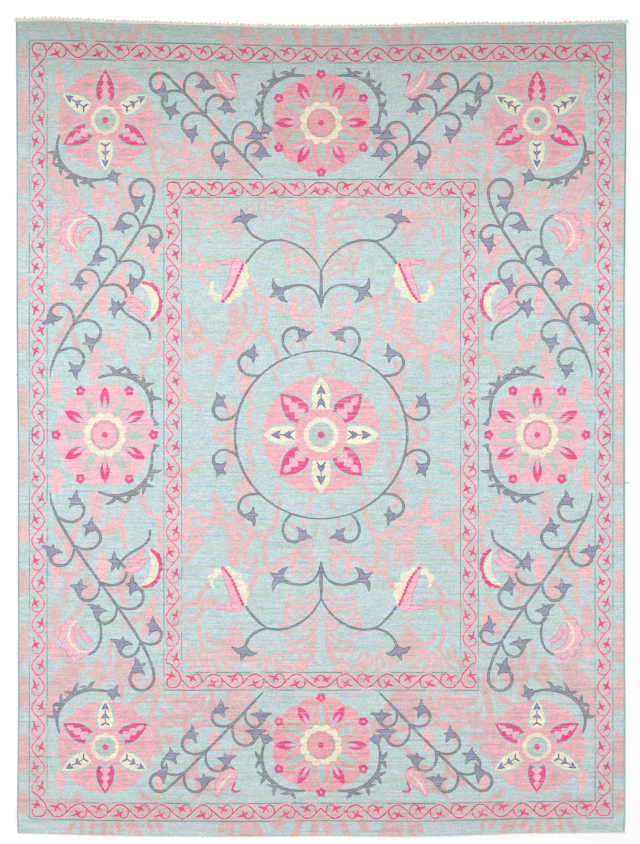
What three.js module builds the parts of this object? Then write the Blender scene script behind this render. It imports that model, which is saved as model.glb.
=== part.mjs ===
// A hand-knotted wool rug of 9 by 12 feet, lying flat. The pile body is one flat piece with a
// slightly uneven outline. An overcast selvedge runs along each long side, and each short end has
// a narrow woven strip with the frayed ends of the warps. X runs across the rug, Y along it and
// Z up. Sizes are in millimetres.

import * as THREE from 'three';

// Driving dimensions of the whole rug.
const RUG_WIDTH = 2743;
const RUG_LENGTH = 3658;
const PILE_THICKNESS = 8;
const PILE_EDGE_ROUND = 2;

// The overcast cord along each long side, and the gap between neighbouring pieces.
const SELVEDGE_WIDTH = 5;
const SELVEDGE_THICKNESS = 7;
const SELVEDGE_ROUND = 1.8;
const PIECE_GAP = 0.3;

// The woven strips and warp ends.
const FRINGE_THICKNESS = 2.5;
const STRANDS_PER_END = 142;
const STRAND_ROOT_WIDTH = 11;
const STRAND_TIP_WIDTH = 5;
const STRAND_LEAN = 3.5;
const NOTCH_UNEVENNESS = 1.6;

// How far the pile passes the nominal rectangle (negative where it falls short), along each edge.
// "at" is measured from the middle of the rug: across it on the ends, along it on the sides.
const TOP_END = [
  { at: -1371, beyond: 11 },
  { at: -1220, beyond: 15 },
  { at: -1085, beyond: 11 },
  { at: -950, beyond: 4 },
  { at: -770, beyond: 1 },
  { at: -545, beyond: -6 },
  { at: -275, beyond: -15 },
  { at: 0, beyond: -19 },
  { at: 355, beyond: -14 },
  { at: 535, beyond: -9 },
  { at: 715, beyond: -5 },
  { at: 1075, beyond: -4 },
  { at: 1255, beyond: 1 },
  { at: 1371, beyond: 3 },
];
const BOTTOM_END = [
  { at: -1371, beyond: -15 },
  { at: -1310, beyond: -14 },
  { at: -1175, beyond: -11 },
  { at: -1040, beyond: -6 },
  { at: -770, beyond: -2 },
  { at: -365, beyond: 0 },
  { at: 40, beyond: -3 },
  { at: 355, beyond: 0 },
  { at: 535, beyond: -2 },
  { at: 715, beyond: -8 },
  { at: 895, beyond: -15 },
  { at: 1255, beyond: -18 },
  { at: 1371, beyond: -19 },
];
const LEFT_SIDE = [
  { at: -1790, beyond: -5 },
  { at: -1740, beyond: -1 },
  { at: -1620, beyond: -3 },
  { at: -1215, beyond: -7 },
  { at: -675, beyond: -6 },
  { at: -45, beyond: -6 },
  { at: 250, beyond: -2 },
  { at: 585, beyond: 0 },
  { at: 1215, beyond: 0 },
  { at: 1800, beyond: 3 },
];
const RIGHT_SIDE = [
  { at: -1785, beyond: -5 },
  { at: -1740, beyond: -2 },
  { at: -1215, beyond: -2 },
  { at: -855, beyond: -4 },
  { at: -225, beyond: -4 },
  { at: 655, beyond: -4 },
  { at: 1215, beyond: 1 },
  { at: 1530, beyond: 4 },
  { at: 1800, beyond: 2 },
];

// Each end's fringe: the depth of its woven strip, how far it passes the selvedges, and how far
// the warp ends stand out from the strip. The bottom one is clipped short.
const TOP_FRINGE = {
  stripDepth: 10,
  overhang: 10,
  reach: [
    { at: -1371, beyond: 12 },
    { at: -1000, beyond: 11 },
    { at: -860, beyond: 7 },
    { at: 0, beyond: 8 },
    { at: 420, beyond: 6 },
    { at: 520, beyond: 11 },
    { at: 760, beyond: 6 },
    { at: 1371, beyond: 9 },
  ],
};
const BOTTOM_FRINGE = {
  stripDepth: 4,
  overhang: 3,
  reach: [
    { at: -1371, beyond: 4 },
    { at: 600, beyond: 4 },
    { at: 1371, beyond: 5 },
  ],
};

// Reads an edge table at any place along it.
function beyondAt(edge, at) {
  const next = edge.findIndex((row) => row.at >= at);
  if (next === 0) {
    return edge[0].beyond;
  }
  if (next < 0) {
    return edge[edge.length - 1].beyond;
  }
  const low = edge[next - 1];
  const high = edge[next];
  return THREE.MathUtils.mapLinear(at, low.at, high.at, low.beyond, high.beyond);
}

// The four edges of the rug: sign says which way is outwards.
const endAt = (end, sign, x) => sign * (RUG_LENGTH / 2 + beyondAt(end, x));
const sideAt = (side, sign, y) => sign * (RUG_WIDTH / 2 + beyondAt(side, y));

// Where a line that runs a little inside a long side meets a short end.
function corner(side, sideSign, end, endSign, inset) {
  const y = endAt(end, endSign, (sideSign * RUG_WIDTH) / 2);
  const x = sideAt(side, sideSign, y) - sideSign * inset;
  return new THREE.Vector2(x, endAt(end, endSign, x));
}

// The points of a short end between two corners, from left to right.
function alongEnd(end, sign, from, to, offset) {
  const inner = end.filter((row) => row.at > from.x && row.at < to.x);
  const points = inner.map((row) => new THREE.Vector2(row.at, endAt(end, sign, row.at) + offset));
  return [from, ...points, to];
}

// The points of a long side between two corners, from bottom to top.
function alongSide(side, sign, from, to, inset) {
  const inner = side.filter((row) => row.at > from.y && row.at < to.y);
  const points = inner.map(
    (row) => new THREE.Vector2(sideAt(side, sign, row.at) - sign * inset, row.at),
  );
  return [from, ...points, to];
}

// A flat piece standing on the surface, with its upper and lower rims rounded inside the outline.
function flatPiece(outline, thickness, round) {
  return new THREE.ExtrudeGeometry(new THREE.Shape(outline), {
    depth: thickness - 2 * round,
    bevelEnabled: round > 0,
    bevelThickness: round,
    bevelSize: round,
    bevelOffset: -round,
    bevelSegments: 2,
  }).translate(0, 0, round);
}

// The knotted body: the whole rug between its selvedges.
function pileBody() {
  const inset = SELVEDGE_WIDTH + PIECE_GAP;
  const bottomLeft = corner(LEFT_SIDE, -1, BOTTOM_END, -1, inset);
  const bottomRight = corner(RIGHT_SIDE, 1, BOTTOM_END, -1, inset);
  const topLeft = corner(LEFT_SIDE, -1, TOP_END, 1, inset);
  const topRight = corner(RIGHT_SIDE, 1, TOP_END, 1, inset);
  const outline = [
    ...alongEnd(BOTTOM_END, -1, bottomLeft, bottomRight, 0),
    ...alongSide(RIGHT_SIDE, 1, bottomRight, topRight, inset).slice(1),
    ...alongEnd(TOP_END, 1, topLeft, topRight, 0).reverse().slice(1),
    ...alongSide(LEFT_SIDE, -1, bottomLeft, topLeft, inset).reverse().slice(1, -1),
  ];
  return flatPiece(outline, PILE_THICKNESS, PILE_EDGE_ROUND);
}

// The overcast cord that binds one long side.
function selvedge(side, sign) {
  const line = (inset) => {
    const bottom = corner(side, sign, BOTTOM_END, -1, inset);
    const top = corner(side, sign, TOP_END, 1, inset);
    return alongSide(side, sign, bottom, top, inset);
  };
  const outline = [...line(0), ...line(SELVEDGE_WIDTH).reverse()];
  return flatPiece(outline, SELVEDGE_THICKNESS, SELVEDGE_ROUND);
}

// A value between 0 and 1 that looks irregular from one strand to the next.
function unevenness(index, seed) {
  return 0.5 + 0.3 * Math.sin(index * 2.4 + seed) + 0.2 * Math.sin(index * 5.3 + 2 * seed);
}

// The woven strip of one short end with its warp ends, which lie flat on the surface.
function fringe(end, sign, { stripDepth, overhang, reach }) {
  const left = corner(LEFT_SIDE, -1, end, sign, -overhang);
  const right = corner(RIGHT_SIDE, 1, end, sign, -overhang);
  const gap = sign * PIECE_GAP;
  const stripEdge = (x) => endAt(end, sign, x) + gap + sign * stripDepth;
  left.y += gap;
  right.y += gap;
  const outline = alongEnd(end, sign, left, right, gap);
  const pitch = (right.x - left.x) / STRANDS_PER_END;
  for (let index = STRANDS_PER_END - 1; index >= 0; index -= 1) {
    const middle = left.x + pitch * (index + 0.5);
    const lean = STRAND_LEAN * (2 * unevenness(index, 1) - 1);
    const length = beyondAt(reach, middle) * (0.6 + 0.6 * unevenness(index, 4));
    const root = stripEdge(middle);
    const tip = root + sign * length;
    const rightNotch = sign * NOTCH_UNEVENNESS * unevenness(index, 2);
    const leftNotch = sign * NOTCH_UNEVENNESS * unevenness(index, 6);
    outline.push(
      new THREE.Vector2(middle + STRAND_ROOT_WIDTH / 2, root - rightNotch),
      new THREE.Vector2(middle + lean + STRAND_TIP_WIDTH / 2, tip),
      new THREE.Vector2(middle + lean - STRAND_TIP_WIDTH / 2, tip),
      new THREE.Vector2(middle - STRAND_ROOT_WIDTH / 2, root - leftNotch),
    );
  }
  return flatPiece(outline, FRINGE_THICKNESS, 0);
}

// One named piece of the rug with its yarn's colour.
function piece(name, geometry, colour) {
  const material = new THREE.MeshStandardMaterial({ color: colour, roughness: 0.95, metalness: 0 });
  const mesh = new THREE.Mesh(geometry, material);
  mesh.name = name;
  return mesh;
}

const rug = new THREE.Group();
rug.add(
  piece('pile_body', pileBody(), '#b4d0cc'),
  piece('selvedge_left', selvedge(LEFT_SIDE, -1), '#7fa3a6'),
  piece('selvedge_right', selvedge(RIGHT_SIDE, 1), '#7fa3a6'),
  piece('fringe_top', fringe(TOP_END, 1, TOP_FRINGE), '#e9e2d2'),
  piece('fringe_bottom', fringe(BOTTOM_END, -1, BOTTOM_FRINGE), '#f1eee6'),
);

// The origin is on the surface, under the middle of the whole rug.
const reach = new THREE.Box3().setFromObject(rug);
const middle = reach.getCenter(new THREE.Vector3());
rug.position.set(-middle.x, -middle.y, -reach.min.z);

export default rug;
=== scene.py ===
# A large hand-knotted wool rug of the arts and crafts kind, lying flat on a pale floor and seen
# from straight above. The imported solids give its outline, and this script gives it its pattern,
# its bound sides, its frayed ends and its wools.

import math
import random

import bpy
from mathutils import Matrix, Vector, geometry, kdtree, noise


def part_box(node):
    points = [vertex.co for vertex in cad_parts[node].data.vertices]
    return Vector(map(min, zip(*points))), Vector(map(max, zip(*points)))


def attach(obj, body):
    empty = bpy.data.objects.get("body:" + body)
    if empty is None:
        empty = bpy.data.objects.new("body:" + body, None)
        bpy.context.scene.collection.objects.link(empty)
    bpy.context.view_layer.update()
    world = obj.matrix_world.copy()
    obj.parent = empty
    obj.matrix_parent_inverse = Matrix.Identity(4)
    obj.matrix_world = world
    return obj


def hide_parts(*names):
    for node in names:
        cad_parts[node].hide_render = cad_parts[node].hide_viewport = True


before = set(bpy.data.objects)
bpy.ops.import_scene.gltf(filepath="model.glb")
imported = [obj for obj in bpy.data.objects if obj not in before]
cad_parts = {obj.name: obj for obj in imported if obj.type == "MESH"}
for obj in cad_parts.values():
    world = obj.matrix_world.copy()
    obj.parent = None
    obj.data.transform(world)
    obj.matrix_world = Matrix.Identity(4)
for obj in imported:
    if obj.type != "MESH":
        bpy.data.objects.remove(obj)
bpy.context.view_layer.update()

bl_info = {
    "name": "Medallion rug",
    "version": (1, 0, 0),
    "blender": (4, 5, 0),
    "location": "3D View > Sidebar > Rug",
    "description": "Makes a hand-knotted rug with its pattern, bound sides and frayed ends",
    "category": "Object",
}

MM = 0.001
PILE_LOW, PILE_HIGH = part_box("pile_body")
PILE_TOP = PILE_HIGH[2]

# The nominal rectangle of the rug in the frame, in mm, and how the design lies in it: its middle
# is a little low, and less so past the band round the inner field.
NOMINAL_MIDDLE = Vector(((PILE_LOW[0] + PILE_HIGH[0]) / 2, (PILE_LOW[1] + PILE_HIGH[1]) / 2)) / MM
NOMINAL_MIDDLE += Vector((-0.5, -7.5))
HALF_LENGTH = 1829.0
HALF_WIDTH = 1366.0
INNER_BAND = 1150.0
DESIGN_DROP = 22.0
BORDER_LIFT = 13.0
BORDER_DEPTH = 600.0

# How far in from the nominal rectangle the uneven edges reach.
EDGE_SWAY = 24.0

# The bound sides, in mm: the selvedge's width and thickness, the gap between pieces, and how much
# selvedge one turn of yarn covers.
SELVEDGE = (5.0, 7.0)
PIECE_GAP = 0.3
WRAP = 4.0

# One turn of yarn: its lean in radians, then the radii of its ring and of the yarn itself as shares
# of the selvedge's half width, how much of the wrap its half thickness takes, and the core's share.
# The cords along the sides and the ends are laid in this many stretches.
TURN_LEAN = 0.22
TURN_RING = 0.68
TURN_YARN = 0.32
TURN_LAP = 0.55
CORE_SHARE = 0.7
SIDE_STEPS = 48

# A loose end of yarn on each side, in mm: how far along the rug it leaves the selvedge, the height
# of its root, and its steps from there.
LOOSE_ENDS = {
    -1: (233, ((2, 0, 0), (-7, 3, 0), (-13, 1, -1))),
    1: (-253, ((-2, 0, 0), (8, 2, 1), (18, -1, 0), (29, 1, -1.2))),
}
LOOSE_HEIGHT = 2.5

# The woven end strips, in mm: their depths, the pitch of their ribs and the ribs' half width as a
# share of it, and the two weft cords that hold them.
TOP_STRIP = 10.0
BOTTOM_STRIP = 4.0
RIB_PITCH = 3.9
RIB_HALF = 0.56
WEFT_PLACES = (0.3, 0.8)
WEFT_HEIGHT = 1.9
WEFT_RADIUS = 0.7

# The frayed threads: how many stand for one packed strand, how far they start inside the strip, and
# how far past the strip a packed strand's tip lies at least.
THREADS_A_STRAND = 7
THREAD_LAP = 1.5
TIP_CLEAR = 1.3
FRINGE_SEED = 5

# The rings of the pile's side: how far each lies below the top, in metres, and its share of the rim.
RIM_RINGS = ((0.0008, 0.72), (0.0025, 1.0), (PILE_TOP - 0.0012, 1.0), (PILE_TOP, 0.85))

# The design: the ground's dye, how far apart the points of a curve lie, in mm, and the width of a
# knot. Each list of flips says in which quarters a shape is repeated.
GROUND_DYE = "#C5DAD9"
CURVE_STEP = 16.0
DESIGN_SEED = 11
KNOT = 4.4
ALL_QUARTERS = ((-1, 1), (1, 1), (-1, -1), (1, -1))
BOTH_SIDES = ((-1, 1), (1, 1))
BOTH_ENDS = ((1, 1), (1, -1))
ONCE = ((1, 1),)


def linear(hex_colour):
    """Turn an sRGB hex colour into the linear values that shaders work in."""
    parts = [int(hex_colour[i : i + 2], 16) / 255 for i in (1, 3, 5)]
    return tuple(c / 12.92 if c <= 0.04045 else ((c + 0.055) / 1.055) ** 2.4 for c in parts)


def paint(hex_colour):
    """A colour that a node's socket takes."""
    return (*linear(hex_colour), 1.0)


def dye(name, description, hex_colour):
    """A colour property for one dyed wool."""
    return bpy.props.FloatVectorProperty(
        name=name,
        description=description,
        subtype="COLOR",
        min=0.0,
        max=1.0,
        default=linear(hex_colour),
    )


def length(name, description, metres):
    """A length property."""
    return bpy.props.FloatProperty(
        name=name, description=description, default=metres, min=0.0, unit="LENGTH", precision=4
    )


class WoolColours(bpy.types.PropertyGroup):
    ground: dye("Ground", "Aqua wool of the ground", GROUND_DYE)
    guard_line: dye("Guard line", "Grey-green of the thin guard lines", "#8C9E99")
    guard_pale: dye("Pale guard line", "Where a guard line is worn", "#AFC3BE")
    guard_vine: dye("Guard vine", "Rose of the small running vine", "#D8648A")
    guard_vine_side: dye("Side guard vine", "Its lighter rose down the sides", "#EC7DA2")
    guard_leaf: dye("Guard leaf", "Hot pink of the small leaves", "#E85A8C")
    guard_halo: dye("Guard halo", "Pale pink beside the small vine", "#E7CBCF")
    vine_edge: dye("Vine edge", "Grey outline of the large vines", "#74757D")
    vine_stem: dye("Vine stem", "Grey inside the stems of the large vines", "#96979F")
    vine_fill: dye("Vine leaf", "Lilac grey inside their leaves", "#9898AC")
    rose: dye("Rose", "Pink of the round flowers", "#F2B5BF")
    rose_side: dye("Side rose", "Pink of the side flowers", "#F7BCCB")
    rose_top: dye("Top rose", "Duskier pink of the end flowers", "#EFACB5")
    magenta: dye("Magenta", "Petal outlines and dots", "#E9598F")
    blush: dye("Blush", "Light pink inside the petals", "#F3BCCC")
    cream: dye("Cream", "Undyed cream wool", "#F2E9D3")
    sage: dye("Sage", "Grey-green flower hearts", "#BFCEC7")
    halo: dye("Petal halo", "Aqua strip beside the petals", "#B9D3CC")
    mauve: dye("Mauve", "Dusty pink patches in the flowers", "#E3B4B8")
    mauve_deep: dye("Deep mauve", "Dusty ring of the side flowers", "#D6ACAE")
    rose_line: dye("Rose line", "Pink outline of the curved leaves", "#EE87A0")
    slate: dye("Slate", "Blue-grey ornament of the cream petals", "#8F92B0")
    slate_edge: dye("Slate edge", "Darker blue-grey", "#717493")
    salmon: dye("Salmon", "Brighter lozenges of the under-pattern", "#F6C0C7")


class RugSizes(bpy.types.PropertyGroup):
    rim: length("Pile rim", "How far the pile's edge is rounded", 0.0025)
    wrap: length("Wrap", "Selvedge that one turn of its yarn covers", WRAP * MM)
    thread: length("Thread", "Thickness of one frayed warp end", 0.0034)


class StageSizes(bpy.types.PropertyGroup):
    view_height: length("View height", "Height of the floor that the picture shows", 3.801)
    floor: length("Floor", "Width of the floor", 60.0)
    lens: bpy.props.FloatProperty(name="Lens", description="Focal length", default=85.0, min=1.0)
    sky: bpy.props.FloatProperty(name="Sky", description="Light from all round", default=0.81)
    lamp: bpy.props.FloatProperty(name="Lamp", description="Watts of the soft lamp", default=158.0)


# Lines and outlines. They are drawn in millimetres out from the middle of the design and up from
# it, in the quarter where both are positive, and are mirrored into the other quarters.


def direction(degrees):
    """The unit vector at an angle."""
    return Vector((math.cos(math.radians(degrees)), math.sin(math.radians(degrees))))


def smooth_line(points, step=CURVE_STEP):
    """A smooth line through the points, sampled about one step apart."""
    points = [Vector(p) for p in points]
    padded = [2 * points[0] - points[1], *points, 2 * points[-1] - points[-2]]
    line = []
    for before, start, end, after in zip(padded, padded[1:], padded[2:], padded[3:]):
        count = max(2, round((end - start).length / step) + 1)
        handles = start + (end - before) / 6, end - (after - start) / 6
        line += geometry.interpolate_bezier(start, *handles, end, count)[:-1]
    return [*line, points[-1]]


def spread(values, fraction):
    """Read evenly spaced values at a fraction of the way along them."""
    place = fraction * (len(values) - 1)
    index = min(int(place), len(values) - 2)
    return values[index] + (values[index + 1] - values[index]) * (place - index)


def brushed(line, widths):
    """The outline of a line drawn with a brush, whose widths are given at even places along it."""
    left, right = [], []
    last = len(line) - 1
    for index, point in enumerate(line):
        ahead = line[min(index + 1, last)] - line[max(index - 1, 0)]
        side = Vector((-ahead.y, ahead.x)).normalized() * spread(widths, index / last) / 2
        left.append(point + side)
        right.append(point - side)
    start = line[0] + (line[0] - line[1]).normalized() * widths[0] * 0.4
    end = line[last] + (line[last] - line[last - 1]).normalized() * widths[-1] * 0.4
    return [start, *right, end, *left[::-1]]


def ring_outline(centre, radius, lobes=0, depth=0.0, turn=0.0):
    """A round outline with lobes standing out of it."""
    count = max(14, round(2 * math.pi * radius / 12), lobes * 4)
    outline = []
    for index in range(count):
        angle = 360 * index / count
        lobe = depth * abs(math.sin(math.radians((angle - turn) * lobes / 2)))
        outline.append(Vector(centre) + direction(angle) * (radius + lobe))
    return outline


def anticlockwise(outline):
    """The outline run anticlockwise, as its lowest corner turns, and begun there."""
    lowest = min(range(len(outline)), key=lambda index: outline[index].y)
    outline = outline[lowest:] + outline[:lowest]
    turn = (outline[1] - outline[0]).cross(outline[-1] - outline[0])
    return outline if turn > 0 else [outline[0], *outline[:0:-1]]


def ease(value):
    """Rise smoothly from 0 to 1 as the value does."""
    value = min(1.0, max(0.0, value))
    return value * value * (3 - 2 * value)


def between(rows, at):
    """Read a value off rows of places and values."""
    for (low, value), (high, next_value) in zip(rows, rows[1:]):
        if at <= high and high > low:
            return value + (next_value - value) * max(0.0, (at - low) / (high - low))
    return rows[-1][1]


class PileEdge:
    """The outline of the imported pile, which the design follows."""

    def __init__(self):
        mesh = bpy.data.objects["pile_body"].data
        found = {
            (round(v.co.x / MM, 1), round(v.co.y / MM, 1))
            for v in mesh.vertices
            if abs(v.co.z - PILE_TOP / 2) < PILE_TOP * 0.3
        }
        from_middle = [Vector(p) - NOMINAL_MIDDLE for p in found]
        from_middle.sort(key=lambda p: math.atan2(p.y / HALF_LENGTH, p.x / HALF_WIDTH))
        self.outline = [p + NOMINAL_MIDDLE for p in from_middle]
        self.ends, self.sides = {}, {}
        for sign in (1, -1):
            end = [p + NOMINAL_MIDDLE for p in from_middle if p.y * sign > HALF_LENGTH - EDGE_SWAY]
            side = [p + NOMINAL_MIDDLE for p in from_middle if p.x * sign > HALF_WIDTH - EDGE_SWAY]
            self.ends[sign] = sorted((p.x, p.y) for p in end)
            self.sides[sign] = sorted((p.y, p.x) for p in side)

    def end_at(self, x, sign):
        """Where the top (1) or bottom (-1) end lies at one place across."""
        return between(self.ends[sign], x)

    def side_at(self, y, sign):
        """Where the right (1) or left (-1) side lies at one place along."""
        return between(self.sides[sign], y)


class Cartoon:
    """The knotter's drawing: filled outlines in painter's order, in millimetres in the frame."""

    def __init__(self, edge):
        self.edge = edge
        self.fills = []
        self.yarns = []
        self.ghosts = []

    def place(self, point, flip):
        """Put a point of the quarter in the frame, settled to the rug's uneven ends."""
        x = point.x * flip[0] + NOMINAL_MIDDLE.x
        along = point.y * flip[1]
        past_band = abs(along) - INNER_BAND
        y = along - DESIGN_DROP + BORDER_LIFT * ease(past_band / BORDER_DEPTH) + NOMINAL_MIDDLE.y
        if past_band > 0:
            sign = 1 if along > 0 else -1
            uneven = self.edge.end_at(x, sign) - (NOMINAL_MIDDLE.y + sign * HALF_LENGTH)
            y += uneven * (past_band / (HALF_LENGTH - INNER_BAND)) ** 2
        return Vector((x, y))

    def fill(self, outline, yarn, flips=ALL_QUARTERS, rough=1.3):
        """Fill an outline in each quarter, with edges as uneven as knots leave them."""
        for flip in flips:
            placed = []
            for point in outline:
                spot = self.place(point, flip)
                wobble = noise.noise_vector(Vector((spot.x, spot.y, 7.0)) / KNOT)
                placed.append(spot + wobble.to_2d() * rough)
            self.fills.append(anticlockwise(placed))
            self.yarns.append(yarn)

    def ghost(self, line, widths, strength=1.0):
        """Add a faint stroke of the under-pattern in every quarter."""
        line = smooth_line(line, 60) if len(line) == 2 else line
        last = len(line) - 1
        for flip in ALL_QUARTERS:
            self.ghosts.append([
                (self.place(p, flip), spread(widths, i / last), strength) for i, p in enumerate(line)
            ])


# The large vines. Each is a stem with curls on both sides of it, and every curl ends in a leaf of
# three tips. Each sprig is a short branch bent round a flower, with hooked thorns on its outside.

STEM_EDGE = 6.0
LEAF_EDGE = 8.5
STEM_WIDTHS = (5, 12, 13, 12, 12, 12, 12, 13, 16)
CURL_WIDTHS = (10, 11, 12, 13, 18)
STALK_WIDTHS = (10, 11, 12)
TIP_WIDTHS = (31, 25, 5)
SPRIG_WIDTHS = (9, 13, 16, 18, 16, 14, 9)
THORN_WIDTHS = (16, 19, 14, 4)

LEAF_SIZE = 55.0
LEAF_SPREAD = 56.0
CURL_TURN = 192.0
CURL_TIGHTENS = 1.6

# Each vine's stem is a bend of four places that ends in a curl. A node is how far up the stem two
# curls leave it, and the length of the left and of the right one.
SIDE_VINE = {
    "bend": ((1220, 262), (1225, 440), (775, 880), (753, 1082)),
    "end_curl": (-243, 230),
    "leave": (30, 35),
    "nodes": ((0.16, 205, 0), (0.32, 208, 200), (0.505, 210, 180), (0.62, 210, 172), (0.785, 165, 165)),
}
END_VINE = {
    "bend": ((262, 1159), (370, 1275), (560, 1480), (690, 1604)),
    "end_curl": (-227, 176),
    "leave": (34, 20),
    "nodes": ((0.21, 150, 0), (0.35, 204, 165), (0.6, 185, 190), (0.82, 180, 181)),
}
STALKS = (
    ((1003, 826), (975, 900), (995, 985), (1056, 988)),
    ((915, 605), (885, 500), (765, 530), (770, 430)),
    ((446, 1520), (425, 1498), (405, 1500), (393, 1516)),
)

# Each sprig's bend and the middle of the flower that it is bent round.
SPRIGS = (
    (((1177, 1346), (1230, 1230), (1110, 1110), (949, 1159)), (972, 1412)),
    (((1002, 257), (880, 310), (740, 230), (764, 70)), (974, 0)),
    (((63, 1611), (190, 1640), (310, 1540), (252, 1386)), (0, 1403)),
)
THORN_PAIRS = 4

FIELD_STEM = ((0, 572), (0, 640), (0, 735))
FIELD_ARM = ((0, 735), (45, 840), (150, 895), (241, 871))
FIELD_TWIG = ((241, 871), (300, 880), (338, 915), (343, 965))
FIELD_FORK = ((241, 871), (275, 855), (315, 810), (340, 772))
FIELD_LOWER_ARM = ((5, 592), (20, 690), (110, 690), (182, 650))

# The vine round the middle flower, and its curls: where each leaves it, its heading and its length.
RING_ACROSS = 388.0
RING_ALONG = 378.0
RING_CURLS = ((70, 43, 206), (45, -6, 198), (15.5, -45, 182))


def bend(start, handle, far_handle, end, step=CURVE_STEP):
    """A smooth bend from its two ends and their handles."""
    places = [Vector(p) for p in (start, handle, far_handle, end)]
    span = sum((b - a).length for a, b in zip(places, places[1:]))
    return list(geometry.interpolate_bezier(*places, max(4, round(span / step))))


def curl(root, heading, turn, length, tightens=CURL_TIGHTENS):
    """A line that sets out along a heading and winds round, tighter towards its end."""
    count = max(4, round(length / CURVE_STEP))
    line = [Vector(root)]
    for index in range(count):
        place = (index + 0.5) / count
        line.append(line[-1] + direction(heading + turn * place**tightens) * (length / count))
    return line


def heading_at(line, index):
    """The angle at which a line runs at one of its points."""
    ahead = line[min(index + 1, len(line) - 1)] - line[max(index - 1, 0)]
    return math.degrees(math.atan2(ahead.y, ahead.x))


def leaf(heart, heading, dice, size=LEAF_SIZE, spread_by=LEAF_SPREAD):
    """A leaf's three tips, which bend outwards. No two leaves are quite alike."""
    strokes = []
    for fan in (-1, 0, 1):
        angle = heading + fan * spread_by + dice.uniform(-7, 7)
        reach = size * dice.uniform(0.82, 1.1)
        middle = heart + direction(angle - fan * 20) * reach * 0.5
        tip = heart + direction(angle + fan * 6) * reach
        strokes.append((smooth_line([heart, middle, tip], 13), TIP_WIDTHS))
    return strokes


def leafy_curl(root, heading, turn, length, dice, size=LEAF_SIZE):
    """A curl with the leaf that it ends in."""
    line = curl(root, heading, turn, length)
    return [(line, CURL_WIDTHS), *leaf(line[-1], heading + turn, dice, size)]


def vine_strokes(vine, dice):
    """A stem with its end curl, and the curls that leave it on both sides."""
    stem = bend(*vine["bend"])
    turn, length = vine["end_curl"]
    heading = heading_at(stem, len(stem) - 1)
    end = curl(stem[-1], heading, turn, length, 1.1)
    strokes = [(stem + end[1:], STEM_WIDTHS), *leaf(end[-1], heading + turn, dice)]
    for place, left, right in vine["nodes"]:
        index = round(place * (len(stem) - 1))
        along = heading_at(stem, index)
        for hand, leave, length in ((1, vine["leave"][0], left), (-1, vine["leave"][1], right)):
            if length:
                strokes += leafy_curl(stem[index], along + hand * leave, hand * CURL_TURN, length, dice)
    return strokes


def sprig_strokes(places, flower, dice):
    """A branch bent round a flower, with pairs of hooked thorns that point away from the flower."""
    stem = bend(*places)
    strokes = [(stem, SPRIG_WIDTHS), *leaf(stem[-1], heading_at(stem, len(stem) - 1), dice, 46)]
    for pair in range(THORN_PAIRS):
        root = stem[round((pair + 1) / (THORN_PAIRS + 1) * (len(stem) - 1))]
        away = root - Vector(flower)
        outwards = math.degrees(math.atan2(away.y, away.x))
        for hand in (-1, 1):
            heading = outwards + hand * dice.uniform(14, 38)
            line = curl(root, heading, hand * dice.uniform(20, 80), dice.uniform(42, 64), 1.0)
            strokes.append((line, THORN_WIDTHS))
    return strokes


def draw_vine(cartoon, strokes, flips=ALL_QUARTERS):
    """Draw a vine's strokes: all their outlines first, and the lighter yarn inside after."""
    for line, widths in strokes:
        cartoon.fill(brushed(line, widths), "vine_edge", flips)
    for line, widths in strokes:
        is_leaf = widths is TIP_WIDTHS
        inner = [max(1.5, w - (LEAF_EDGE if is_leaf else STEM_EDGE)) for w in widths]
        cartoon.fill(brushed(line, inner), "vine_fill" if is_leaf else "vine_stem", flips)


def draw_vines(cartoon, dice):
    """Draw every large vine and sprig of the border."""
    for vine in (SIDE_VINE, END_VINE):
        draw_vine(cartoon, vine_strokes(vine, dice))
    draw_vine(cartoon, [(bend(*places), STALK_WIDTHS) for places in STALKS])
    for places, flower in SPRIGS:
        draw_vine(cartoon, sprig_strokes(places, flower, dice))


def draw_field_motif(cartoon, dice):
    """Draw the branching stems at both ends of the inner field, and the vine round the middle."""
    arm, twig, lower = bend(*FIELD_ARM), bend(*FIELD_TWIG), bend(*FIELD_LOWER_ARM)
    strokes = [(arm, (6, 9, 11, 10)), (twig, (10, 11, 14)), *leaf(twig[-1], 72, dice, 56, 78)]
    strokes += [(lower, (8, 10, 10, 12, 22)), *leaf(lower[-1], -30, dice, 62, 85)]
    strokes.append((bend(*FIELD_FORK), STALK_WIDTHS))
    draw_vine(cartoon, strokes)
    draw_vine(cartoon, [(smooth_line(FIELD_STEM), (8, 15, 15, 9))], BOTH_ENDS)

    def on_ring(angle):
        """A place on the vine round the middle."""
        around = direction(angle)
        return Vector((around.x * RING_ACROSS, around.y * RING_ALONG))

    strokes = [([on_ring(angle) for angle in range(-2, 94, 2)], (11, 11, 11, 9, 7, 6))]
    for angle, heading, length in RING_CURLS:
        strokes += leafy_curl(on_ring(angle), heading, CURL_TURN, length, dice)
    draw_vine(cartoon, strokes)


# The round flowers. A shape on a petal is the left half of its outline, as millimetres out from the
# flower's centre and then to the left of the petal's middle line.


def half_petal(start, end, width, root=0.0, belly=0.27, notch=0.0):
    """A pointed petal: its ends, half its width, half its width at the root, and how far along it
    is widest. A notch goes into its root."""
    half = [(start + notch, 0.0)]
    for step in range(0 if root else 1, 10):
        along = step / 10
        if along < belly:
            side = root + (width - root) * math.sin(math.pi / 2 * along / belly)
        else:
            side = width * math.cos(math.pi / 2 * ((along - belly) / (1 - belly)) ** 1.15)
        half.append((start + along * (end - start), side))
    return [*half, (end, 0.0)]


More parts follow.
